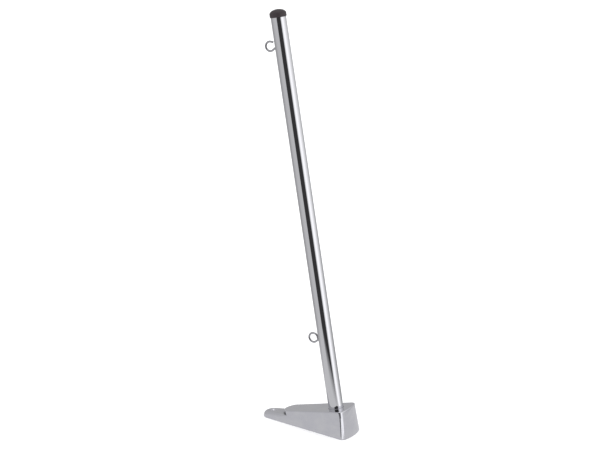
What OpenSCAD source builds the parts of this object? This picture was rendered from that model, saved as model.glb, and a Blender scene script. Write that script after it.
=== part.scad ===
// Boat-deck flagstaff: a raked tube in a cast wedge base, with an end cap and two wire flag eyes.
// Millimetres, +Z up from the deck. The origin is where the staff's axis meets the deck.
// +X runs along the base to its heel, so the tongue and the staff's lean are towards -X.

/* [Staff] */
// Angle of the staff from upright
rake = 12.5; // [5:0.5:25]
// Outside diameter of the tube
tube_d = 22; // [16:0.5:32]
// Wall thickness of the tube
tube_wall = 1.5; // [1:0.1:3]
// Cut length of the tube
tube_len = 600; // [300:10:1200]

/* [Base] */
// Length along the deck, tongue tip to heel
base_len = 148; // [110:1:200]
// From the staff's axis to the middle of the heel, along the deck
heel_x = 24; // [18:0.5:35]
// Width of the heel at the deck
heel_w = 56; // [44:1:80]
// Radius of the heel's bow in plan
heel_bow = 85; // [60:5:300]
// Lean of the heel towards the tongue in degrees
heel_lean = 13.5; // [5:0.5:25]
// Radius of the tongue's round tip at the deck
tip_r = 14; // [10:0.5:20]
// Radius of the heel's upright corners at the deck
corner_r = 7.5; // [5:0.5:12]
// Radius of the same corners at the seat
corner_top_r = 6.5; // [5:0.5:12]
// Draft of the side walls in degrees
draft = 4.5; // [1:0.5:8]
// From the deck to the sloping seat, along the staff's axis
seat = 37; // [32:0.5:60]
// Rounding of the seat's edges
edge_r = 1.5; // [1:0.5:4]
// Upright edge where the walls meet the deck
sole = 0.2; // [0.1:0.1:2]
// Height of the tongue's top above the deck, at the middle of its round tip
tongue_h = 9.1; // [7:0.1:12]
// Rise of the tongue's top towards the nose in degrees
tongue_slope = 7; // [3:0.5:11]
// From the tongue's top up to the seat's plane, over the middle of the round tip
tongue_drop = 3.6; // [2:0.1:8]
// Length of the tongue in front of the raised nose
tongue_len = 33.5; // [26:0.5:50]
// Radius of the round nose in plan
nose_r = 16; // [10:0.5:20]
// Angle at which the nose's sides run out to the walls, from the middle line
nose_flare = 50; // [40:1:60]

/* [Underside] */
// Thickness of the hollow base's side walls
wall = 3.5; // [2.5:0.1:4]
// Thickness of the metal under the seat
roof = 4; // [3:0.5:8]
// Thickness of the web from the socket to the nose
web_t = 4; // [2:0.5:8]
// Height of the web's lower edge above the deck
web_lift = 5; // [2:0.5:12]

/* [Socket] */
// How deep the tube stands in the base
socket_depth = 31; // [20:1:32]
// Radial clearance round the tube
socket_gap = 0.15; // [0.05:0.05:0.4]
// Metal round the socket
boss_wall = 4.5; // [3:0.5:7]

/* [Fixings] */
// Clearance hole for the tongue's screw
screw_d = 5.5; // [4:0.1:8]
// Depth of the straight part of that hole
screw_len = 6.4; // [4:0.1:7]
// Tapping hole under each heel corner
tap_d = 4.2; // [3:0.1:6]
// Depth of the tapping holes
tap_len = 12; // [8:1:16]
// Distance between the tapping holes
tap_pitch = 37; // [30:0.5:44]
// From the heel to the tapping holes
tap_inset = 12; // [7:0.5:14]
// Metal round each tapping hole
post_wall = 3.4; // [2:0.1:5]

/* [End cap] */
// Diameter of the cap's head
cap_d = 24; // [18:0.5:36]
// Height of the head's straight rim
cap_rim = 4.5; // [1:0.5:8]
// Height of the dome above the rim
cap_dome = 6.5; // [4:0.5:14]
// Length of the plug inside the tube
plug_len = 16; // [8:1:30]
// Radial clearance of the plug's ribs
plug_gap = 0.1; // [0.05:0.05:0.3]
// How far the ribs stand out from the plug
rib_out = 0.9; // [0.3:0.1:2]
// Thickness of each rib
rib_t = 1.6; // [0.8:0.1:2]

/* [Flag eyes] */
// Wire diameter
wire_d = 3; // [2:0.25:5]
// Radius of the eye to the middle of its wire
eye_r = 6.75; // [5:0.25:12]
// From the tube's axis to the middle of an eye
eye_reach = 20; // [18:0.25:30]
// Rise of the straight arm from the eye to the tube, in degrees
arm_rise = 30; // [15:1:45]
// From the tube's top down to the middle of the open hook
hook_drop = 39.5; // [20:0.5:120]
// From the seat up to the middle of the closed eye
eye_rise = 105.5; // [40:0.5:200]
// Where the hook's bend ends and its free end runs on straight, in degrees above level
hook_end = 75; // [60:1:100]
// Length of that straight free end
hook_run = 4.3; // [2:0.1:6]
// Where the eye's free end closes on its own arm, in degrees above level
eye_end = -20; // [-28:1:-15]
// Radius of the weld at the arm's root
weld_r = 2.5; // [1.75:0.25:4]
// Gap between the welded arm and the tube's skin
weld_gap = 0.05; // [0.02:0.01:0.2]

/* [Hidden] */
$fn = 96;
tube_r = tube_d / 2;
bore_r = tube_r - tube_wall;
boss_r = tube_r + boss_wall;
tube_foot = seat - socket_depth;
tube_top = tube_foot + tube_len;
hook_w = tube_top - hook_drop;
eye_w = seat + eye_rise;
tip_x = heel_x - base_len + tip_r;
nose_x = heel_x - base_len + tongue_len + nose_r;
// The seat's plane runs from the staff down to the tongue's tip
seat_x = -seat * sin(rake);
seat_h = seat * cos(rake);
slope = atan2(seat_h - tongue_h - tongue_drop, seat_x - tip_x);
// Where the heel meets the seat
heel_top_z = (seat_h + (heel_x - seat_x) * tan(slope)) / (1 + tan(heel_lean) * tan(slope));
heel_top_u = slope_u(heel_x - heel_top_z * tan(heel_lean));
heel_top_w = heel_w - 2 * heel_top_z * tan(draft);
tip_top_r = tip_r - seat_z(tip_x) * tan(draft);
nose_top_r = nose_r - seat_z(nose_x) * tan(draft);
// The countersink's cutter runs a screw's width past the tongue's top
sink_len = tongue_h + screw_d - screw_len;
// Straight wire is a little thinner than the bend and starts inside it
arm_d = 0.9 * wire_d;
arm_lap = wire_d / 3;

// Height of the seat's plane above a point of the deck
function seat_z(x) = seat_h + (x - seat_x) * tan(slope);

// Distance along the slope from the staff to the seat above a point of the deck
function slope_u(x) = (x - seat_x) / cos(slope);

// Middle of a rounding of radius r, at y, inside a bowed heel that reaches x
function bow_x(x, r, y) = x - heel_bow + sqrt(pow(heel_bow - r, 2) - y * y);

// Turns its children so that their Z is the staff's axis
module staff_frame() {
  rotate([0, -rake, 0]) children();
}

// Puts its children's XY plane on the seat, with their origin on the staff's axis
module seat_frame() {
  translate([seat_x, 0, seat_h]) rotate([0, -slope, 0]) children();
}

module round_disc(r, e) {
  rotate_extrude($fn = 32) translate([r - e, 0]) circle(r = e, $fn = 24);
}

// Sets its children along a bowed heel that reaches x and is w wide, as its roundings of radius r
module heel_row(x, w, r) {
  for (s = [-1:0.5:1]) {
    y = s * (w / 2 - r);
    translate([bow_x(x, r, y), y, 0]) children();
  }
}

// Solid wedge up to the seat, from the tip to the heel
module wedge() {
  hull() {
    translate([tip_x, 0, 0]) cylinder(r = tip_r, h = sole, $fn = 48);
    heel_row(heel_x, heel_w, corner_r) cylinder(r = corner_r, h = sole, $fn = 48);
    seat_frame() {
      translate([slope_u(tip_x), 0, -edge_r]) round_disc(tip_top_r, edge_r);
      heel_row(heel_top_u, heel_top_w, corner_top_r) translate([0, 0, -edge_r]) round_disc(corner_top_r, edge_r);
    }
  }
}

// What is taken off above the tongue, in front of the round nose and its flared sides
module tongue_relief() {
  u = slope_u(nose_x);
  difference() {
    translate([tip_x, 0, tongue_h]) rotate([0, -tongue_slope, 0])
      translate([-base_len, -heel_w, 0]) cube([base_len + nose_x - tip_x, 2 * heel_w, seat]);
    seat_frame() translate([u, 0, -seat])
      hull() {
        cylinder(r = nose_r, h = 3 * seat);
        translate([nose_r, 0, 0]) cylinder(r = nose_r * (1 + sin(nose_flare)), h = 3 * seat);
      }
  }
}

// Room under the seat, open at the deck
module hollow() {
  hull() {
    translate([nose_x, 0, -sole]) cylinder(r = nose_r - wall, h = sole, $fn = 32);
    heel_row(heel_x, heel_w, corner_r) translate([0, 0, -sole]) cylinder(r = corner_r - wall, h = sole, $fn = 32);
    seat_frame() {
      translate([slope_u(nose_x), 0, -roof - sole]) cylinder(r = nose_top_r - wall, h = sole, $fn = 32);
      heel_row(heel_top_u, heel_top_w, corner_top_r)
        translate([0, 0, -roof - sole]) cylinder(r = corner_top_r - wall, h = sole, $fn = 32);
    }
  }
}

// Socket boss, screw posts and web left standing in the hollow, up to the roof
module inner_metal() {
  staff_frame() translate([0, 0, -boss_r]) cylinder(r = boss_r, h = boss_r + seat);
  for (s = [-1, 1])
    translate([heel_x - tap_inset, s * tap_pitch / 2, -sole]) cylinder(r = tap_d / 2 + post_wall, h = 2 * seat);
  translate([nose_x - nose_r, -web_t / 2, web_lift]) cube([nose_r - nose_x, web_t, 2 * seat]);
}

module base_casting() {
  color([0.78, 0.79, 0.80])
    difference() {
      wedge();
      tongue_relief();
      difference() {
        hollow();
        inner_metal();
      }
      staff_frame() translate([0, 0, tube_foot]) cylinder(r = tube_r + socket_gap, h = 2 * socket_depth);
      // Countersunk hole in the tongue
      translate([tip_x, 0, -sole]) cylinder(d = screw_d, h = screw_len + 2 * sole);
      translate([tip_x, 0, screw_len]) cylinder(r1 = screw_d / 2, r2 = screw_d / 2 + sink_len, h = sink_len);
      // Tapping holes under the heel
      for (s = [-1, 1])
        translate([heel_x - tap_inset, s * tap_pitch / 2, -sole]) cylinder(d = tap_d, h = tap_len + sole);
    }
}

module staff_tube() {
  color([0.80, 0.81, 0.82])
    staff_frame() translate([0, 0, tube_foot])
      difference() {
        cylinder(r = tube_r, h = tube_len);
        translate([0, 0, -tube_wall]) cylinder(r = bore_r, h = tube_len + 2 * tube_wall);
      }
}

module end_cap() {
  color([0.16, 0.15, 0.16])
    staff_frame() translate([0, 0, tube_top]) {
      rotate_extrude()
        polygon(concat([[0, 0], [cap_d / 2, 0]],
          [for (a = [0:5:90]) [cap_d / 2 * cos(a), cap_rim + cap_dome * sin(a)]]));
      // Plug with three gripping ribs
      translate([0, 0, -plug_len]) cylinder(r = bore_r - plug_gap - rib_out, h = plug_len + cap_rim / 2);
      for (i = [1:3])
        translate([0, 0, -plug_len * i / 4]) cylinder(r = bore_r - plug_gap, h = rib_t);
    }
}

// Wire bent round from one angle to another, counted from the tube's side upwards
module wire_arc(from, to) {
  rotate([90, 0, 0]) rotate([0, 0, from])
    rotate_extrude(angle = to - from) translate([eye_r, 0]) circle(d = wire_d, $fn = 48);
}

// Straight arm that leaves the eye at a tangent, with the flare of its weld at the tube
module arm() {
  reach = (eye_reach - tube_r - eye_r * sin(arm_rise)) / cos(arm_rise);
  translate([eye_r * sin(arm_rise), 0, -eye_r * cos(arm_rise)]) rotate([0, 90 - arm_rise, 0]) {
    translate([0, 0, -arm_lap]) cylinder(d = arm_d, h = arm_lap + reach + weld_r, $fn = 48);
    translate([0, 0, reach - weld_r]) cylinder(r1 = 0.4 * arm_d, r2 = weld_r, h = 2 * weld_r, $fn = 48);
  }
}

// Straight free end of the wire, at a tangent to the bend
module free_end(from, run) {
  translate([eye_r * cos(from), 0, eye_r * sin(from)]) rotate([0, 180 - from, 0])
    translate([0, 0, -arm_lap]) cylinder(d = arm_d, h = arm_lap + run, $fn = 48);
}

// An eye of bent wire, its root coped to the tube
module wire_eye(from, run = 0) {
  color([0.80, 0.81, 0.82])
    difference() {
      union() {
        wire_arc(from, 270 + arm_rise);
        arm();
        if (run > 0) free_end(from, run);
      }
      translate([eye_reach, 0, -3 * eye_r]) cylinder(r = tube_r + weld_gap, h = 6 * eye_r);
    }
}

module upper_hook() {
  staff_frame() translate([-eye_reach, 0, hook_w]) wire_eye(hook_end, hook_run);
}

module lower_eye() {
  staff_frame() translate([-eye_reach, 0, eye_w]) wire_eye(eye_end);
}

base_casting();
staff_tube();
end_cap();
upper_hook();
lower_eye();
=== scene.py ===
"""Boat-deck flagstaff: a mirror-polished tube raked in a cast wedge base, with an end cap and two wire eyes.

Sizes are in millimetres, as in the part's drawing, and meshes are in metres. The staff leans to -X in the XZ
plane, and the origin is where its axis meets the deck.
"""
import math

import bpy
import numpy as np
from mathutils import Matrix, Vector


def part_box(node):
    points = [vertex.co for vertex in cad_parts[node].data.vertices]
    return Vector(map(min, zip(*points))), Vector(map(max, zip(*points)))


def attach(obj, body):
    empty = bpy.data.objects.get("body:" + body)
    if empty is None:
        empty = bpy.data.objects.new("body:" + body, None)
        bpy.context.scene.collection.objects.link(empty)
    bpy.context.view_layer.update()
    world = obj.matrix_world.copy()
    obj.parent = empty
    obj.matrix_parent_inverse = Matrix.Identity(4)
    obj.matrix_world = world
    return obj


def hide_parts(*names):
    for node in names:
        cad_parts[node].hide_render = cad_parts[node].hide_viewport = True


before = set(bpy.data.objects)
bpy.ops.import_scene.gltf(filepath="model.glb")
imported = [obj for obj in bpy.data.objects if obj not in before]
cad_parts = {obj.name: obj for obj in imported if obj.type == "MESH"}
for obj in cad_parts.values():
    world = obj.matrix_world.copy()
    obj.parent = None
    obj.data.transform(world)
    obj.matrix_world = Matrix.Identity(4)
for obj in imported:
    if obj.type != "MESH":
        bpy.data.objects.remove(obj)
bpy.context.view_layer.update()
MM = 0.001

# Staff
RAKE = math.radians(12.5)
TUBE_R = 11.0
TUBE_WALL = 1.5
TUBE_FOOT = 6.0
TUBE_TOP = 606.0
TUBE_EDGE = 0.4
TUBE_SIDES = 128
TUBE_RINGS = 40
RINGS_FROM_END = 2.0

# Wedge base
HEEL_X = 24.0
HEEL_W = 56.0
HEEL_BOW = 85.0
HEEL_LEAN = math.tan(math.radians(13.5))
BASE_LEN = 148.0
TIP_R = 14.0
CORNER_R = 7.5
CORNER_TOP_R = 6.5
DRAFT = math.tan(math.radians(4.5))
SEAT = 37.0
SOLE_R = 0.7
TONGUE_DROP = 3.6
TONGUE_H = 9.1
TONGUE_SLOPE = math.radians(7.0)
TONGUE_LEN = 33.5
NOSE_R = 16.0
NOSE_FLARE = math.radians(50.0)
NOSE_EDGE = 1.2
NOSE_FILLET = 0.5
TIP_X = HEEL_X - BASE_LEN + TIP_R
NOSE_X = HEEL_X - BASE_LEN + TONGUE_LEN + NOSE_R
SEAT_X = -SEAT * math.sin(RAKE)
SEAT_H = SEAT * math.cos(RAKE)
SLOPE = math.atan2(SEAT_H - TONGUE_H - TONGUE_DROP, SEAT_X - TIP_X)
HEEL_TOP_Z = (SEAT_H + (HEEL_X - SEAT_X) * math.tan(SLOPE)) / (1 + HEEL_LEAN * math.tan(SLOPE))
# Upper edges behind the nose and on the tongue; one passes into the other from EDGE_FROM ahead of the nose's
# middle, over EDGE_TURN
EDGE_R = 1.5
TONGUE_EDGE = 4.5
EDGE_FROM = 6.4
EDGE_TURN = 8.0
# Reach of the painted shade at the nose's foot, where the inner corner is darkened in colour and made
# rougher
NOSE_FOOT_SHADE_REACH = 1.8

# Underside, socket and holes of the base
WALL = 3.5
ROOF = 4.0
HOLLOW_EDGE = 1.0
WEB_T = 4.0
WEB_LIFT = 5.0
WEB_EDGE = 0.8
CAST_FILLET = 1.5
SOCKET_R = TUBE_R + 0.15
SOCKET_RIM = 0.3
BOSS_R = TUBE_R + 4.5
HOLE_EDGE = 0.4
SCREW_R = 2.75
SCREW_LEN = 6.4
TAP_R = 2.1
TAP_LEN = 12.0
TAP_X = HEEL_X - 12.0
TAP_Y = 18.5
POST_R = TAP_R + 3.4

# Mesh of the base: grid step and margin, then the rounds that set each point on the surface, with the
# distance at which the slope is felt, its least square and the longest move as a share of the step
SKIN_STEP = 0.68
SKIN_MARGIN = 2.1
SETTLE_ROUNDS = 6
SETTLE_FEEL = 0.01
SETTLE_SLOPE = 0.2
SETTLE_MOVE = 0.3

# End cap
CAP_R = 12.0
CAP_RIM = 4.5
CAP_DOME = 6.5
CAP_EDGE = 0.5
CAP_SIDES = 96
RIM_RINGS = (1.2, 2.2, CAP_RIM - 0.4)
DOME_DEGREES = range(2, 89, 4)
PLUG_LEN = 16.0
PLUG_R = 8.5
PLUG_EDGE = 0.8
PLUG_FLAT_R = 4.0
RIB_COUNT = 3
RIB_R = 9.4
RIB_T = 1.6
RIB_FOOT = 0.1
RIB_LEAD = 0.7
RIB_EDGE = 0.3

# Flag eyes
WIRE_R = 1.5
WIRE_SIDES = 32
EYE_R = 6.75
EYE_REACH = 20.0
EYE_STEP = math.radians(4.0)
ARM_RISE = math.radians(30.0)
ARM_POINTS = 14
HOOK_W = TUBE_TOP - 39.5
HOOK_START = math.radians(75.0)
HOOK_RUN = 4.3
EYE_W = SEAT + 105.5
EYE_START = math.radians(-20.0)
WELD_R = 2.5
WELD_LEN = 3.2
WELD_BLEND = 0.4
WELD_SINK = 0.6
END_ROUND = 0.4
# Distances from a free end at which the wire has a ring, close together where its edge is round
END_RINGS = (0.0, 0.04, 0.12, 0.24, 0.4, 0.8, 1.4)
RUN_RINGS = 4
RUN_FROM = 2.2
BEND_GAP = 0.5

# Finishes: the range that most of a pattern's values lie in, and the roughness added where shade is painted
# at the nose's foot
PATTERN_RANGE = {"From Min": 0.3, "From Max": 0.7}
NOSE_FOOT_ROUGHNESS = 0.4

# Camera at the photograph's viewing angle
CAMERA_TURN = math.radians(26.83)
CAMERA_RISE = math.radians(15.61)
CAMERA_ROLL = math.radians(2.84)
CAMERA_AIM = Vector((-0.12601, 0.08870, 0.27055))
CAMERA_DISTANCE = 2.6039
CAMERA_LENS = 105.08
CAMERA_SENSOR = 36.0

# Floor: half its width in metres, and how far it lies below the deck face
FLOOR_HALF = 30.0
FLOOR_DROP = 0.1

# Edge of the white sheet to the right of the staff's foot and towards the camera, and the share of each
# distance up to which it is fully white
SHEET_EDGE = [(900, 1000, 0.4), (420, 950, 0.32), (0, 850, 0.33), (-290, 690, 0.38), (-430, 300, 0.8),
              (-430, 40, 0.8), (-330, -250, 0.3), (0, -200, 0.8), (250, -160, 0.8), (400, -95, 0.8),
              (430, 0, 0.8), (520, 300, 0.8)]
SHEET_LIFT = 0.1
SHEET_LIGHT = 0.85

# Card in front of the heel's near corner, dark and then white: how far to the right each upright line is
# at its foot and at its top, and its brightness there
CARD_LINES = [(-12, -1, 0.4, 0.1), (2, 16, 0.4, 0.1), (4, 18, 1.5, 1.5), (30, 40, 1.5, 1.5)]
CARD_FRONT = 65
CARD_TOP = 31

# Brightness that the metal mirrors, by degrees from the camera's side to the right: below the horizon,
# above it, higher up and overhead
FRONT = [(-60, 0.81), (-29, 0.82), (-26, 0.055), (28, 0.055), (34, 0.9), (41, 1.4), (57, 1.8)]
STUDIO_LOW = [(-180, 0.57), (-150, 0.52), (-108, 0.56), (-86, 0.75)] + FRONT
STUDIO_LOW += [(74, 1.1), (93, 0.50), (117, 0.40), (130, 0.42), (150, 0.44), (180, 0.57)]
STUDIO_LEVEL = [(-180, 0.57), (-150, 0.68), (-108, 0.70), (-86, 0.78)] + FRONT
STUDIO_LEVEL += [(74, 1.6), (93, 1.25), (117, 0.92), (130, 0.84), (150, 0.66), (180, 0.57)]
STUDIO_UPPER = 0.72
STUDIO_CEILING = 1.5
# Upward part of the direction over which each of these bands passes into the next
STUDIO_STEPS = [(-0.20, 0.02), (0.50, 0.58), (0.88, 0.94)]
# Brightness at the top of the colour ramps' range
RAMP_TOP = 2.5
# Soft light on matt surfaces
AMBIENT = 1.2


def make_camera():
    """Looks at the staff from low on its near side, a little turned on its own axis as in the photograph."""
    back = Vector((math.sin(CAMERA_TURN), -math.cos(CAMERA_TURN), 0)) * math.cos(CAMERA_RISE)
    back.z = math.sin(CAMERA_RISE)
    level = Vector((math.cos(CAMERA_TURN), math.sin(CAMERA_TURN), 0))
    rise = back.cross(level)
    right = level * math.cos(CAMERA_ROLL) + rise * math.sin(CAMERA_ROLL)
    up = rise * math.cos(CAMERA_ROLL) - level * math.sin(CAMERA_ROLL)
    data = bpy.data.cameras.new("camera")
    data.lens = CAMERA_LENS
    data.sensor_width = CAMERA_SENSOR
    camera = bpy.data.objects.new("camera", data)
    turn = Matrix((right, up, back)).transposed().to_4x4()
    camera.matrix_world = Matrix.Translation(CAMERA_AIM + back * CAMERA_DISTANCE) @ turn
    bpy.context.scene.collection.objects.link(camera)
    bpy.context.scene.camera = camera


# Materials

def linear(code):
    """Linear RGBA of an sRGB hex colour."""
    parts = [int(code[i:i + 2], 16) / 255 for i in (0, 2, 4)]
    return [p / 12.92 if p <= 0.04045 else ((p + 0.055) / 1.055) ** 2.4 for p in parts] + [1.0]


def add(tree, kind, inputs=None, **settings):
    """Adds a node with its settings; each input is a value or the socket that feeds it."""
    node = tree.nodes.new(kind)
    for name, value in settings.items():
        setattr(node, name, value)
    for key, value in (inputs or {}).items():
        if isinstance(value, bpy.types.NodeSocket):
            tree.links.new(value, node.inputs[key])
        else:
            node.inputs[key].default_value = value
    return node


def bare_material(name):
    """A node material with nothing in its tree yet, and that tree."""
    material = bpy.data.materials.new(name)
    material.use_nodes = True
    material.node_tree.nodes.clear()
    return material, material.node_tree


def new_material(name, even):
    """A material with its tree and its shader, which holds the values that are even all over the surface."""
    material, tree = bare_material(name)
    shader = add(tree, "ShaderNodeBsdfPrincipled", even)
    add(tree, "ShaderNodeOutputMaterial", {"Surface": shader.outputs["BSDF"]})
    return material, tree, shader


def pattern(tree, size, turn=(0, 0, 0), detail=3.0):
    """Unevenness whose grain has the given size in millimetres along each axis of the turned piece."""
    place = add(tree, "ShaderNodeTexCoord").outputs["Object"]
    scale = [s * MM for s in size]
    grain = add(tree, "ShaderNodeMapping", {"Vector": place, "Rotation": turn, "Scale": scale},
                vector_type="TEXTURE")
    noise = add(tree, "ShaderNodeTexNoise", {"Vector": grain.outputs[0], "Scale": 1.0, "Detail": detail})
    return noise.outputs["Fac"]


def work_surface(tree, shader, marks, gloss, relief, painted_shade_mask=None):
    """Gives a finish a roughness that varies with its marks, and a relief of patterns with their depths."""
    limits = {"Value": marks, **PATTERN_RANGE, "To Min": gloss[0], "To Max": gloss[1]}
    rough = add(tree, "ShaderNodeMapRange", limits).outputs["Result"]
    # Rougher where shade is painted at the nose's foot, if a mask of it is given
    if painted_shade_mask is not None:
        duller = {0: painted_shade_mask, 1: NOSE_FOOT_ROUGHNESS, 2: rough}
        rough = add(tree, "ShaderNodeMath", duller, operation="MULTIPLY_ADD").outputs[0]
    tree.links.new(rough, shader.inputs["Roughness"])
    below = {}
    for height, depth in relief:
        raised = {"Height": height, "Strength": 1.0, "Distance": depth * MM, **below}
        bump = add(tree, "ShaderNodeBump", raised)
        below = {"Normal": bump.outputs["Normal"]}
    tree.links.new(below["Normal"], shader.inputs["Normal"])


def tube_steel():
    """Mirror-polished stainless tube: drawn, then buffed lengthwise, so stripes of light run along it."""
    even = {"Base Color": linear("C6C6CA"), "Metallic": 1.0}
    material, tree, shader = new_material("mirror_polished_stainless_tube", even)
    lean = (0, -RAKE, 0)
    # Buffing lines are about 0.05 mm wide; they are drawn at 0.5 mm so that they show
    lines = pattern(tree, (0.5, 0.5, 40), lean)
    waves = pattern(tree, (24, 24, 160), lean, 1.0)
    work_surface(tree, shader, lines, (0.03, 0.075), [(lines, 0.002), (waves, 0.02)])
    return material


def cast_steel():
    """Cast stainless steel, ground and buffed: a soft mirror that rolls a little, in two close greys, with
    painted shade at the nose's foot.
    """
    material, tree, shader = new_material("polished_cast_stainless", {"Metallic": 1.0})
    cloud = {"Value": pattern(tree, (14, 14, 10)), **PATTERN_RANGE}
    tone = add(tree, "ShaderNodeMapRange", cloud).outputs["Result"]
    # A mix node of colours takes its two colours at inputs 6 and 7 and gives the result at output 2
    greys = {0: tone, 6: linear("BDBDC4"), 7: linear("C3C3C8")}
    buffed = add(tree, "ShaderNodeMix", greys, data_type="RGBA").outputs[2]
    # Painted shade: the inner corner at the nose's foot is darkened in colour, and it is made rougher too
    painted_shade_mask = add(tree, "ShaderNodeAttribute", attribute_name="nose_foot_painted_shade").outputs["Fac"]
    colours = {0: painted_shade_mask, 6: buffed, 7: linear("3A383C")}
    colour = add(tree, "ShaderNodeMix", colours, data_type="RGBA").outputs[2]
    tree.links.new(colour, shader.inputs["Base Color"])
    # Buffing marks of about 0.1 mm are drawn at 0.8 mm so that they show
    marks = pattern(tree, (3.0, 0.8, 0.8), (0, -SLOPE, 0))
    rolls = pattern(tree, (9, 9, 9), detail=1.0)
    work_surface(tree, shader, marks, (0.04, 0.08), [(marks, 0.003), (rolls, 0.03)], painted_shade_mask)
    return material


def wire_steel():
    """Bent and buffed stainless wire: bright, with faint draw marks and a slightly uneven bend."""
    even = {"Base Color": linear("A6A6AA"), "Metallic": 1.0}
    material, tree, shader = new_material("polished_stainless_wire", even)
    # Draw marks of about 0.05 mm are drawn at 0.4 mm so that they show
    marks = pattern(tree, (0.4, 0.4, 0.4))
    rolls = pattern(tree, (4, 4, 4), detail=1.0)
    work_surface(tree, shader, marks, (0.03, 0.08), [(rolls, 0.05)])
    return material


def black_plastic():
    """Black polyethylene, moulded in a spark-eroded tool: satin, with a fine grain and soft highlights."""
    even = {"IOR": 1.5, "Base Color": linear("342D30"), "Specular IOR Level": 0.3}
    material, tree, shader = new_material("moulded_black_polyethylene", even)
    # The grain is about 0.1 mm; it is drawn at 0.5 mm so that it shows
    grain = pattern(tree, (0.5, 0.5, 0.5))
    work_surface(tree, shader, grain, (0.42, 0.55), [(grain, 0.03)])
    return material


# Pieces

def piece(name, mesh, material, node):
    """Puts a finished mesh in the scene in the place of its CAD node."""
    mesh.name = name
    mesh.shade_smooth()
    if material.name not in mesh.materials:
        mesh.materials.append(material)
    made = bpy.data.objects.new(name, mesh)
    bpy.context.scene.collection.objects.link(made)
    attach(made, "root")
    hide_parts(node)


def on_staff(u, y, w):
    """Point in metres at u ahead of the staff's axis, y across and w along it."""
    x = u * math.cos(RAKE) - w * math.sin(RAKE)
    z = u * math.sin(RAKE) + w * math.cos(RAKE)
    return (x * MM, y * MM, z * MM)


def both(a, b, r):
    """Gap to what lies inside two shapes, with the edge between them rounded; inside is below zero."""
    return np.minimum(np.maximum(a, b), -r) + np.hypot(np.maximum(a + r, 0), np.maximum(b + r, 0))


def either(a, b, r):
    """Gap to what lies inside one shape or the other, with the corner between them filled."""
    return -both(-a, -b, r)


def wedge_plan(x, y, z, tip_x, tip_r, inset):
    """Gap to the walls at height z: a round tip, straight sides, two round corners and a bowed heel."""
    side = np.abs(y)
    tip = tip_r - z * DRAFT
    corner = CORNER_R - inset - z * (CORNER_R - CORNER_TOP_R) / HEEL_TOP_Z
    bow = HEEL_BOW - inset
    bow_x = HEEL_X - z * HEEL_LEAN - HEEL_BOW
    corner_y = HEEL_W / 2 - inset - z * DRAFT - corner
    corner_x = bow_x + np.sqrt((bow - corner) ** 2 - corner_y ** 2)
    run = np.hypot(corner_x - tip_x, corner_y)
    turn = np.arctan2(corner_y, corner_x - tip_x) + np.arcsin((corner - tip) / run)
    along = (x - tip_x) * np.cos(turn) + side * np.sin(turn)
    past = (x - corner_x) * np.cos(turn) + (side - corner_y) * np.sin(turn)
    straight = side * np.cos(turn) - (x - tip_x) * np.sin(turn) - tip
    gap = np.maximum(straight, np.hypot(x - bow_x, side) - bow)
    at_corner = (past > 0) & (side * (corner_x - bow_x) > (x - bow_x) * corner_y)
    gap = np.where(at_corner, np.hypot(x - corner_x, side - corner_y) - corner, gap)
    return np.where(along < 0, np.hypot(x - tip_x, side) - tip, gap)


def seat_and_nose(x, y, z):
    """Gap below the sloping seat, and the same behind its round nose only."""
    seat = (z - SEAT_H - (x - SEAT_X) * math.tan(SLOPE)) * math.cos(SLOPE)
    ahead = (x - SEAT_X) * math.cos(SLOPE) + (z - SEAT_H) * math.sin(SLOPE)
    ahead -= (NOSE_X - SEAT_X) / math.cos(SLOPE)
    side = np.abs(y)
    straight = side * math.cos(NOSE_FLARE) - ahead * math.sin(NOSE_FLARE)
    beside = ahead * math.cos(NOSE_FLARE) + side * math.sin(NOSE_FLARE) > 0
    nose = np.where(beside, straight, np.hypot(ahead, side)) - NOSE_R
    return seat, both(seat, nose, NOSE_EDGE)


def tongue_top(x, z):
    """Gap below the tongue's own slope."""
    return (z - TONGUE_H - (x - TIP_X) * math.tan(TONGUE_SLOPE)) * math.cos(TONGUE_SLOPE)


def nose_foot_painted_shade(x, y, z):
    """How near a point is to the inner corner at the nose's foot, from 0 to 1: the mask of the shade painted
    there.
    """
    away = np.abs(seat_and_nose(x, y, z)[1]) + np.abs(tongue_top(x, z))
    inside = np.clip(-wedge_plan(x, y, z, TIP_X, TIP_R, 0.0) / NOSE_FOOT_SHADE_REACH, 0, 1)
    return np.exp(-(away / NOSE_FOOT_SHADE_REACH) ** 2) * inside


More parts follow.
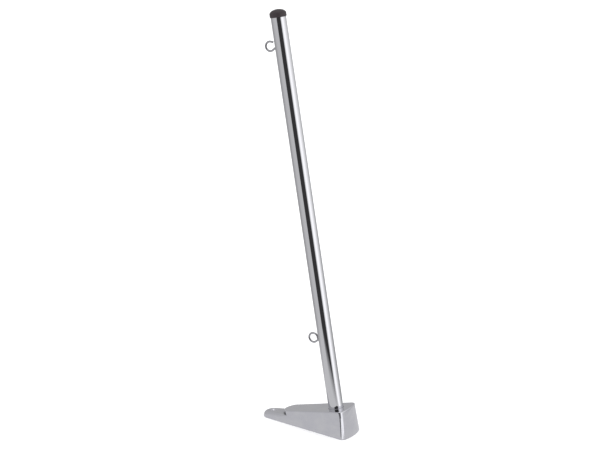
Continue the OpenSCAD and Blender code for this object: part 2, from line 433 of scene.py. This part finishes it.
def wedge_base(x, y, z):
    """Gap to the whole casting, in millimetres."""
    seat, raised = seat_and_nose(x, y, z)
    walls = wedge_plan(x, y, z, TIP_X, TIP_R, 0.0)
    # The edge is rounder on the tongue than behind the nose
    on_tongue = np.clip((NOSE_X - x - EDGE_FROM) / EDGE_TURN, 0, 1)
    edge = EDGE_R + (TONGUE_EDGE - EDGE_R) * on_tongue
    body = both(walls, either(tongue_top(x, z), raised, NOSE_FILLET), edge)
    body = both(body, -z, SOLE_R)
    ahead = x * math.cos(RAKE) + z * math.sin(RAKE)
    along = z * math.cos(RAKE) - x * math.sin(RAKE)
    axis = np.hypot(ahead, y)
    # Hollow underside, with the socket's boss, the web and the screw posts left in it
    hollow = both(wedge_plan(x, y, z, NOSE_X, NOSE_R - WALL, WALL), seat + ROOF, HOLLOW_EDGE)
    from_tap = np.hypot(x - TAP_X, np.abs(y) - TAP_Y)
    web = both(np.abs(y) - WEB_T / 2, np.maximum(WEB_LIFT - z, x), WEB_EDGE)
    kept = either(either(axis - BOSS_R, from_tap - POST_R, CAST_FILLET), web, CAST_FILLET)
    body = both(body, -both(hollow, -kept, CAST_FILLET), HOLE_EDGE)
    # Socket for the tube, with its broken edge
    body = both(body, -np.maximum(axis - SOCKET_R, TUBE_FOOT - along), SOCKET_RIM)
    # Hole in the tongue, countersunk at 45 degrees
    from_hole = np.hypot(x - TIP_X, y)
    sink = (from_hole - SCREW_R - (z - SCREW_LEN)) * math.sqrt(0.5)
    body = both(body, -np.minimum(from_hole - SCREW_R, sink), HOLE_EDGE)
    # Tapping holes under the heel
    return both(body, -np.maximum(from_tap - TAP_R, z - TAP_LEN), HOLE_EDGE)


def skin(field, low, high, step):
    """Vertices and quads of the surface where a field is zero."""
    axes = [np.arange(low[i], high[i] + step, step) for i in range(3)]
    grid = np.stack(np.meshgrid(*axes, indexing="ij"), axis=-1)
    value = field(grid[..., 0], grid[..., 1], grid[..., 2])
    cells = np.array(value.shape) - 1
    total = np.zeros((*cells, 3))
    hits = np.zeros(cells)
    crossings = []
    for axis in range(3):
        near = [slice(None)] * 3
        far = [slice(None)] * 3
        near[axis] = slice(None, -1)
        far[axis] = slice(1, None)
        start = value[tuple(near)]
        end = value[tuple(far)]
        at = np.argwhere((start < 0) != (end < 0))
        a = start[tuple(at.T)]
        b = end[tuple(at.T)]
        point = grid[tuple(at.T)].copy()
        point[:, axis] += step * a / (a - b)
        around = []
        for down, across in ((1, 1), (0, 1), (0, 0), (1, 0)):
            cell = at.copy()
            cell[:, (axis + 1) % 3] -= down
            cell[:, (axis + 2) % 3] -= across
            np.add.at(total, tuple(cell.T), point)
            np.add.at(hits, tuple(cell.T), 1)
            around.append(cell)
        crossings.append((around, a < 0))
    number = np.full(cells, -1)
    number[hits > 0] = np.arange(np.count_nonzero(hits))
    points = total[hits > 0] / hits[hits > 0][:, None]
    quads = []
    for around, outwards in crossings:
        quad = np.stack([number[tuple(cell.T)] for cell in around], axis=1)
        quad[~outwards] = quad[~outwards][:, ::-1]
        quads.append(quad)
    return settle(field, points, step), np.concatenate(quads)


def settle(field, points, step):
    """The same points, moved down or up the field's slope until they lie on its surface."""
    for _ in range(SETTLE_ROUNDS):
        gap = field(*points.T)
        slopes = np.empty_like(points)
        for axis in range(3):
            shift = np.zeros(3)
            shift[axis] = SETTLE_FEEL
            slopes[:, axis] = (field(*(points + shift).T) - field(*(points - shift).T)) / (2 * SETTLE_FEEL)
        move = slopes * (gap / np.maximum((slopes ** 2).sum(1), SETTLE_SLOPE))[:, None]
        points -= np.clip(move, -SETTLE_MOVE * step, SETTLE_MOVE * step)
    return points


def make_base(material):
    """The wedge casting, as one closed skin with rounded edges and filleted corners."""
    low, high = (Vector(c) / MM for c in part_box("base_casting"))
    half = math.ceil((high.y + SKIN_MARGIN) / SKIN_STEP) * SKIN_STEP + SKIN_STEP / 2
    start = (low.x - SKIN_MARGIN, -half, low.z - SKIN_MARGIN)
    end = (high.x + SKIN_MARGIN, half, high.z + SKIN_MARGIN)
    points, quads = skin(wedge_base, start, end, SKIN_STEP)
    mesh = bpy.data.meshes.new("wedge_base")
    mesh.from_pydata((points * MM).tolist(), [], quads.tolist())
    # Mask of the painted shade at the nose's foot, from 0 to 1
    shade_at_nose_foot = mesh.attributes.new("nose_foot_painted_shade", "FLOAT", "POINT")
    shade_at_nose_foot.data.foreach_set("value", nose_foot_painted_shade(*points.T))
    piece("wedge_base", mesh, material, "base_casting")


def turned(name, profile, segments, closed):
    """Mesh turned about the staff's axis from (radius, height) points; outside is to the right of them."""
    points = []
    rings = []
    for r, w in profile:
        if r == 0:
            rings.append([len(points)] * segments)
            points.append(on_staff(0, 0, w))
            continue
        rings.append(list(range(len(points), len(points) + segments)))
        for i in range(segments):
            turn = 2 * math.pi * i / segments
            points.append(on_staff(r * math.cos(turn), r * math.sin(turn), w))
    faces = []
    for lower, upper in zip(rings, rings[1:] + (rings[:1] if closed else [])):
        for i in range(segments):
            k = (i + 1) % segments
            face = [lower[i], lower[k], upper[k], upper[i]]
            faces.append(list(dict.fromkeys(face)))
    mesh = bpy.data.meshes.new(name)
    mesh.from_pydata(points, [], faces)
    return mesh


def bend(r, w, radius, start, end, count=5):
    """Points of a round edge about (r, w), by angle from the outward direction."""
    angles = [math.radians(start + (end - start) * i / count) for i in range(count + 1)]
    return [(r + radius * math.cos(a), w + radius * math.sin(a)) for a in angles]


def make_tube(material):
    """The drawn tube, with both cut ends deburred."""
    inner = TUBE_R - TUBE_WALL
    foot = TUBE_FOOT + TUBE_EDGE
    top = TUBE_TOP - TUBE_EDGE
    rings = np.linspace(TUBE_FOOT + RINGS_FROM_END, TUBE_TOP - RINGS_FROM_END, TUBE_RINGS).tolist()
    profile = bend(TUBE_R - TUBE_EDGE, foot, TUBE_EDGE, -90, 0)
    profile += [(TUBE_R, w) for w in rings]
    profile += bend(TUBE_R - TUBE_EDGE, top, TUBE_EDGE, 0, 90)
    profile += bend(inner + TUBE_EDGE, top, TUBE_EDGE, 90, 180)
    profile += [(inner, w) for w in reversed(rings)]
    profile += bend(inner + TUBE_EDGE, foot, TUBE_EDGE, 180, 270)
    mesh = turned("mirror_tube", profile, TUBE_SIDES, True)
    piece("mirror_tube", mesh, material, "staff_tube")


def make_cap(material):
    """The moulded cap: a ribbed plug, a straight rim with a broken lower edge and a low dome."""
    low = TUBE_TOP - PLUG_LEN
    profile = [(0, low), (PLUG_FLAT_R, low), (PLUG_R - 1.5 * PLUG_EDGE, low)]
    profile += bend(PLUG_R - PLUG_EDGE, low + PLUG_EDGE, PLUG_EDGE, -90, 0)
    for i in range(RIB_COUNT, 0, -1):
        foot = TUBE_TOP - PLUG_LEN * i / (RIB_COUNT + 1)
        head = foot + RIB_T
        profile += [(PLUG_R, foot), (PLUG_R, foot + RIB_FOOT), (RIB_R, foot + RIB_LEAD)]
        profile += [(RIB_R, head - RIB_EDGE), (RIB_R - RIB_EDGE, head), (PLUG_R, head)]
    profile += [(PLUG_R, TUBE_TOP), (CAP_R - 2 * CAP_EDGE, TUBE_TOP)]
    profile += bend(CAP_R - CAP_EDGE, TUBE_TOP + CAP_EDGE, CAP_EDGE, -90, 0)
    profile += [(CAP_R, TUBE_TOP + rise) for rise in RIM_RINGS]
    top = TUBE_TOP + CAP_RIM
    for degrees in DOME_DEGREES:
        turn = math.radians(degrees)
        profile.append((CAP_R * math.cos(turn), top + CAP_DOME * math.sin(turn)))
    profile.append((0, top + CAP_DOME))
    mesh = turned("domed_cap", profile, CAP_SIDES, False)
    piece("domed_cap", mesh, material, "end_cap")


def wire_tree():
    """Geometry Nodes for round wire along a path, with a rounded free end and a flared root at the weld."""
    tree = bpy.data.node_groups.new("bent_wire", "GeometryNodeTree")
    tree.interface.new_socket("Path", in_out="INPUT", socket_type="NodeSocketGeometry")
    for name in ("Wire radius", "End round", "Weld radius", "Weld length"):
        tree.interface.new_socket(name, in_out="INPUT", socket_type="NodeSocketFloat")
    tree.interface.new_socket("Finish", in_out="INPUT", socket_type="NodeSocketMaterial")
    tree.interface.new_socket("Wire", in_out="OUTPUT", socket_type="NodeSocketGeometry")
    given = add(tree, "NodeGroupInput").outputs
    wire = given["Wire radius"]
    curve = add(tree, "GeometryNodeMeshToCurve", {"Mesh": given["Path"]}).outputs["Curve"]
    run = add(tree, "GeometryNodeSplineParameter").outputs["Length"]
    whole = add(tree, "GeometryNodeSplineLength").outputs["Length"]
    # Free end, cut square: only its edge is rounded, as a quarter circle
    edge = given["End round"]
    share = add(tree, "ShaderNodeMath", {0: run, 1: edge}, operation="DIVIDE", use_clamp=True).outputs[0]
    rest = add(tree, "ShaderNodeMath", {0: 1.0, 1: share}, operation="SUBTRACT").outputs[0]
    square = add(tree, "ShaderNodeMath", {0: rest, 1: rest}, operation="MULTIPLY").outputs[0]
    height = add(tree, "ShaderNodeMath", {0: 1.0, 1: square}, operation="SUBTRACT").outputs[0]
    tip = add(tree, "ShaderNodeMath", {0: height}, operation="SQRT").outputs[0]
    core = add(tree, "ShaderNodeMath", {0: wire, 1: edge}, operation="SUBTRACT").outputs[0]
    body = add(tree, "ShaderNodeMath", {0: tip, 1: edge, 2: core}, operation="MULTIPLY_ADD").outputs[0]
    # Weld: the radius widens smoothly over the last stretch
    left = add(tree, "ShaderNodeMath", {0: whole, 1: run}, operation="SUBTRACT").outputs[0]
    widening = {"Value": left, "From Min": 0.0, "From Max": given["Weld length"],
                "To Min": given["Weld radius"], "To Max": 0.0}
    flare = add(tree, "ShaderNodeMapRange", widening, interpolation_type="SMOOTHSTEP").outputs["Result"]
    blended = {0: body, 1: flare, 2: WELD_BLEND * MM}
    radius = add(tree, "ShaderNodeMath", blended, operation="SMOOTH_MAX").outputs[0]
    ring = add(tree, "GeometryNodeCurvePrimitiveCircle", {"Resolution": WIRE_SIDES, "Radius": 1.0})
    swept = {"Curve": curve, "Profile Curve": ring.outputs["Curve"], "Scale": radius, "Fill Caps": True}
    solid = add(tree, "GeometryNodeCurveToMesh", swept).outputs["Mesh"]
    real = add(tree, "GeometryNodeRealizeInstances", {"Geometry": solid}).outputs["Geometry"]
    done = add(tree, "GeometryNodeSetMaterial", {"Geometry": real, "Material": given["Finish"]})
    add(tree, "NodeGroupOutput", {"Wire": done.outputs["Geometry"]})
    return tree


def wire_path(middle, first, free_run):
    """Points from the wire's free end round its eye and up the arm into the tube's wall."""
    def on_eye(turn):
        return np.array((EYE_R * math.cos(turn) - EYE_REACH, EYE_R * math.sin(turn) + middle))

    last = math.radians(270) + ARM_RISE
    back = np.array((math.sin(first), -math.cos(first)))
    on = np.array((-math.sin(last), math.cos(last)))
    points = []
    if free_run > 0:
        distances = [free_run - s for s in END_RINGS]
        distances += np.linspace(free_run - RUN_FROM, BEND_GAP, RUN_RINGS).tolist()
        points += [on_eye(first) + back * s for s in distances]
    points += [on_eye(turn) for turn in np.linspace(first, last, int((last - first) / EYE_STEP))]
    reach = (EYE_REACH - TUBE_R + WELD_SINK - EYE_R * math.cos(last)) / math.cos(ARM_RISE)
    points += [on_eye(last) + on * s for s in np.linspace(BEND_GAP, reach, ARM_POINTS)]
    return [on_staff(u, 0, w) for u, w in points]


def make_wire(name, tree, path, material, node):
    """One bent and welded wire as a plain mesh."""
    line = bpy.data.meshes.new(name + "_path")
    line.from_pydata(path, [(i, i + 1) for i in range(len(path) - 1)], [])
    rig = bpy.data.objects.new(name + "_path", line)
    bpy.context.scene.collection.objects.link(rig)
    grow = rig.modifiers.new("bent wire", "NODES")
    grow.node_group = tree
    sizes = {"Wire radius": WIRE_R * MM, "End round": END_ROUND * MM, "Weld radius": WELD_R * MM,
             "Weld length": WELD_LEN * MM, "Finish": material}
    for item in tree.interface.items_tree:
        if item.name in sizes:
            grow[item.identifier] = sizes[item.name]
    graph = bpy.context.evaluated_depsgraph_get()
    mesh = bpy.data.meshes.new_from_object(rig.evaluated_get(graph), depsgraph=graph)
    bpy.data.objects.remove(rig)
    piece(name, mesh, material, node)


# Floor and light

def make_floor():
    """A plain pale floor that the studio's light reaches from all sides."""
    even = {"Base Color": linear("F6F6F8"), "Roughness": 0.9, "Specular IOR Level": 0.0,
            "Emission Color": linear("FFFFFF"), "Emission Strength": 0.2}
    material, _, _ = new_material("pale_floor", even)
    mesh = bpy.data.meshes.new("floor")
    signs = ((-1, -1), (1, -1), (1, 1), (-1, 1))
    corners = [(x * FLOOR_HALF, y * FLOOR_HALF, -FLOOR_DROP * MM) for x, y in signs]
    mesh.from_pydata(corners, [], [(0, 1, 2, 3)])
    mesh.materials.append(material)
    floor = bpy.data.objects.new("floor", mesh)
    floor.visible_glossy = False
    bpy.context.scene.collection.objects.link(floor)


def on_stage(right, front, up):
    """Point in metres from millimetres to the camera's right, towards it and up from the staff's foot."""
    x = right * math.cos(CAMERA_TURN) + front * math.sin(CAMERA_TURN)
    y = right * math.sin(CAMERA_TURN) - front * math.cos(CAMERA_TURN)
    return (x * MM, y * MM, up * MM)


def put_up(name, points, faces, material, attribute, levels):
    """Puts something on the stage that only the metal mirrors, with a level of light for each point."""
    mesh = bpy.data.meshes.new(name)
    mesh.from_pydata(points, [], faces)
    mesh.attributes.new(attribute, "FLOAT", "POINT").data.foreach_set("value", levels)
    mesh.materials.append(material)
    made = bpy.data.objects.new(name, mesh)
    made.visible_camera = False
    made.visible_diffuse = False
    made.visible_shadow = False
    bpy.context.scene.collection.objects.link(made)


def make_sheet():
    """The white sheet that the metal mirrors: it lies round the base and fades out short of the camera."""
    material, tree = bare_material("white_sheet")
    fade = add(tree, "ShaderNodeAttribute", attribute_name="fade").outputs["Fac"]
    white = add(tree, "ShaderNodeEmission", {"Color": linear("FFFFFF"), "Strength": SHEET_LIGHT}).outputs[0]
    clear = add(tree, "ShaderNodeBsdfTransparent").outputs[0]
    mixed = add(tree, "ShaderNodeMixShader", {0: fade, 1: clear, 2: white}).outputs[0]
    add(tree, "ShaderNodeOutputMaterial", {"Surface": mixed})
    count = len(SHEET_EDGE)
    points = [on_stage(right, front, SHEET_LIFT) for right, front, share in SHEET_EDGE]
    points += [on_stage(right * share, front * share, SHEET_LIFT) for right, front, share in SHEET_EDGE]
    points.append(on_stage(0, 0, SHEET_LIFT))
    faces = []
    for i in range(count):
        k = (i + 1) % count
        faces.append((i, k, count + k, count + i))
        faces.append((count + i, count + k, 2 * count))
    put_up("sheet", points, faces, material, "fade", [0.0] * count + [1.0] * (count + 1))


def make_card():
    """A low card that only the metal mirrors: its dark and white lines show in the heel's round corner."""
    material, tree = bare_material("split_card")
    shade = add(tree, "ShaderNodeAttribute", attribute_name="shade").outputs["Fac"]
    glow = add(tree, "ShaderNodeEmission", {"Color": linear("FFFFFF"), "Strength": shade}).outputs[0]
    add(tree, "ShaderNodeOutputMaterial", {"Surface": glow})
    points = []
    shades = []
    for foot, top, low_level, top_level in CARD_LINES:
        points += [on_stage(foot, CARD_FRONT, 0), on_stage(top, CARD_FRONT, CARD_TOP)]
        shades += [low_level, top_level]
    faces = [(i, i + 2, i + 3, i + 1) for i in range(0, len(points) - 2, 2)]
    put_up("card", points, faces, material, "shade", shades)


def make_studio():
    """White to look at, even soft light on matt surfaces, and a studio's screens for the metal to mirror."""
    world = bpy.data.worlds.new("studio")
    bpy.context.scene.world = world
    world.use_nodes = True
    tree = world.node_tree
    tree.nodes.clear()
    white = linear("FFFFFF")
    # Direction, turned so that the camera's side is at the front, as an angle to the right
    seen = add(tree, "ShaderNodeTexCoord").outputs["Generated"]
    to_front = {"Vector": seen, "Angle": -CAMERA_TURN}
    faced = add(tree, "ShaderNodeVectorRotate", to_front, rotation_type="Z_AXIS").outputs[0]
    apart = add(tree, "ShaderNodeSeparateXYZ", {0: faced}).outputs
    front = add(tree, "ShaderNodeMath", {0: apart["Y"], 1: -1.0}, operation="MULTIPLY").outputs[0]
    angle = add(tree, "ShaderNodeMath", {0: apart["X"], 1: front}, operation="ARCTAN2").outputs[0]
    share = add(tree, "ShaderNodeMapRange", {"Value": angle, "From Min": -math.pi, "From Max": math.pi})
    bands = []
    for levels in (STUDIO_LOW, STUDIO_LEVEL):
        ramp = add(tree, "ShaderNodeValToRGB", {0: share.outputs["Result"]})
        stops = ramp.color_ramp.elements
        while len(stops) > 1:
            stops.remove(stops[-1])
        for i, (degrees, level) in enumerate(levels):
            stop = stops[0] if i == 0 else stops.new((degrees + 180) / 360)
            stop.color = [level / RAMP_TOP] * 3 + [1.0]
        bands.append((ramp.outputs["Color"], RAMP_TOP))
    bands += [(white, STUDIO_UPPER), (white, STUDIO_CEILING), (white, 1.0), (white, AMBIENT)]
    lights = [add(tree, "ShaderNodeBackground", {"Color": c, "Strength": s}).outputs[0] for c, s in bands]
    mirrored, above, upper, ceiling, plain, soft = lights
    for light, (start, end) in zip((above, upper, ceiling), STUDIO_STEPS):
        rise = add(tree, "ShaderNodeMapRange", {"Value": apart["Z"], "From Min": start, "From Max": end})
        mixed = add(tree, "ShaderNodeMixShader", {0: rise.outputs["Result"], 1: mirrored, 2: light})
        mirrored = mixed.outputs[0]
    path = add(tree, "ShaderNodeLightPath").outputs
    matt = add(tree, "ShaderNodeMixShader", {0: path["Is Camera Ray"], 1: soft, 2: plain}).outputs[0]
    final = add(tree, "ShaderNodeMixShader", {0: path["Is Glossy Ray"], 1: matt, 2: mirrored}).outputs[0]
    add(tree, "ShaderNodeOutputWorld", {"Surface": final})
    bpy.context.scene.view_settings.view_transform = "Standard"


make_camera()
make_base(cast_steel())
make_tube(tube_steel())
make_cap(black_plastic())
WIRE = wire_tree()
WIRE_FINISH = wire_steel()
make_wire("open_hook", WIRE, wire_path(HOOK_W, HOOK_START, HOOK_RUN), WIRE_FINISH, "upper_hook")
make_wire("closed_eye", WIRE, wire_path(EYE_W, EYE_START, 0.0), WIRE_FINISH, "lower_eye")
make_floor()
make_sheet()
make_card()
make_studio()
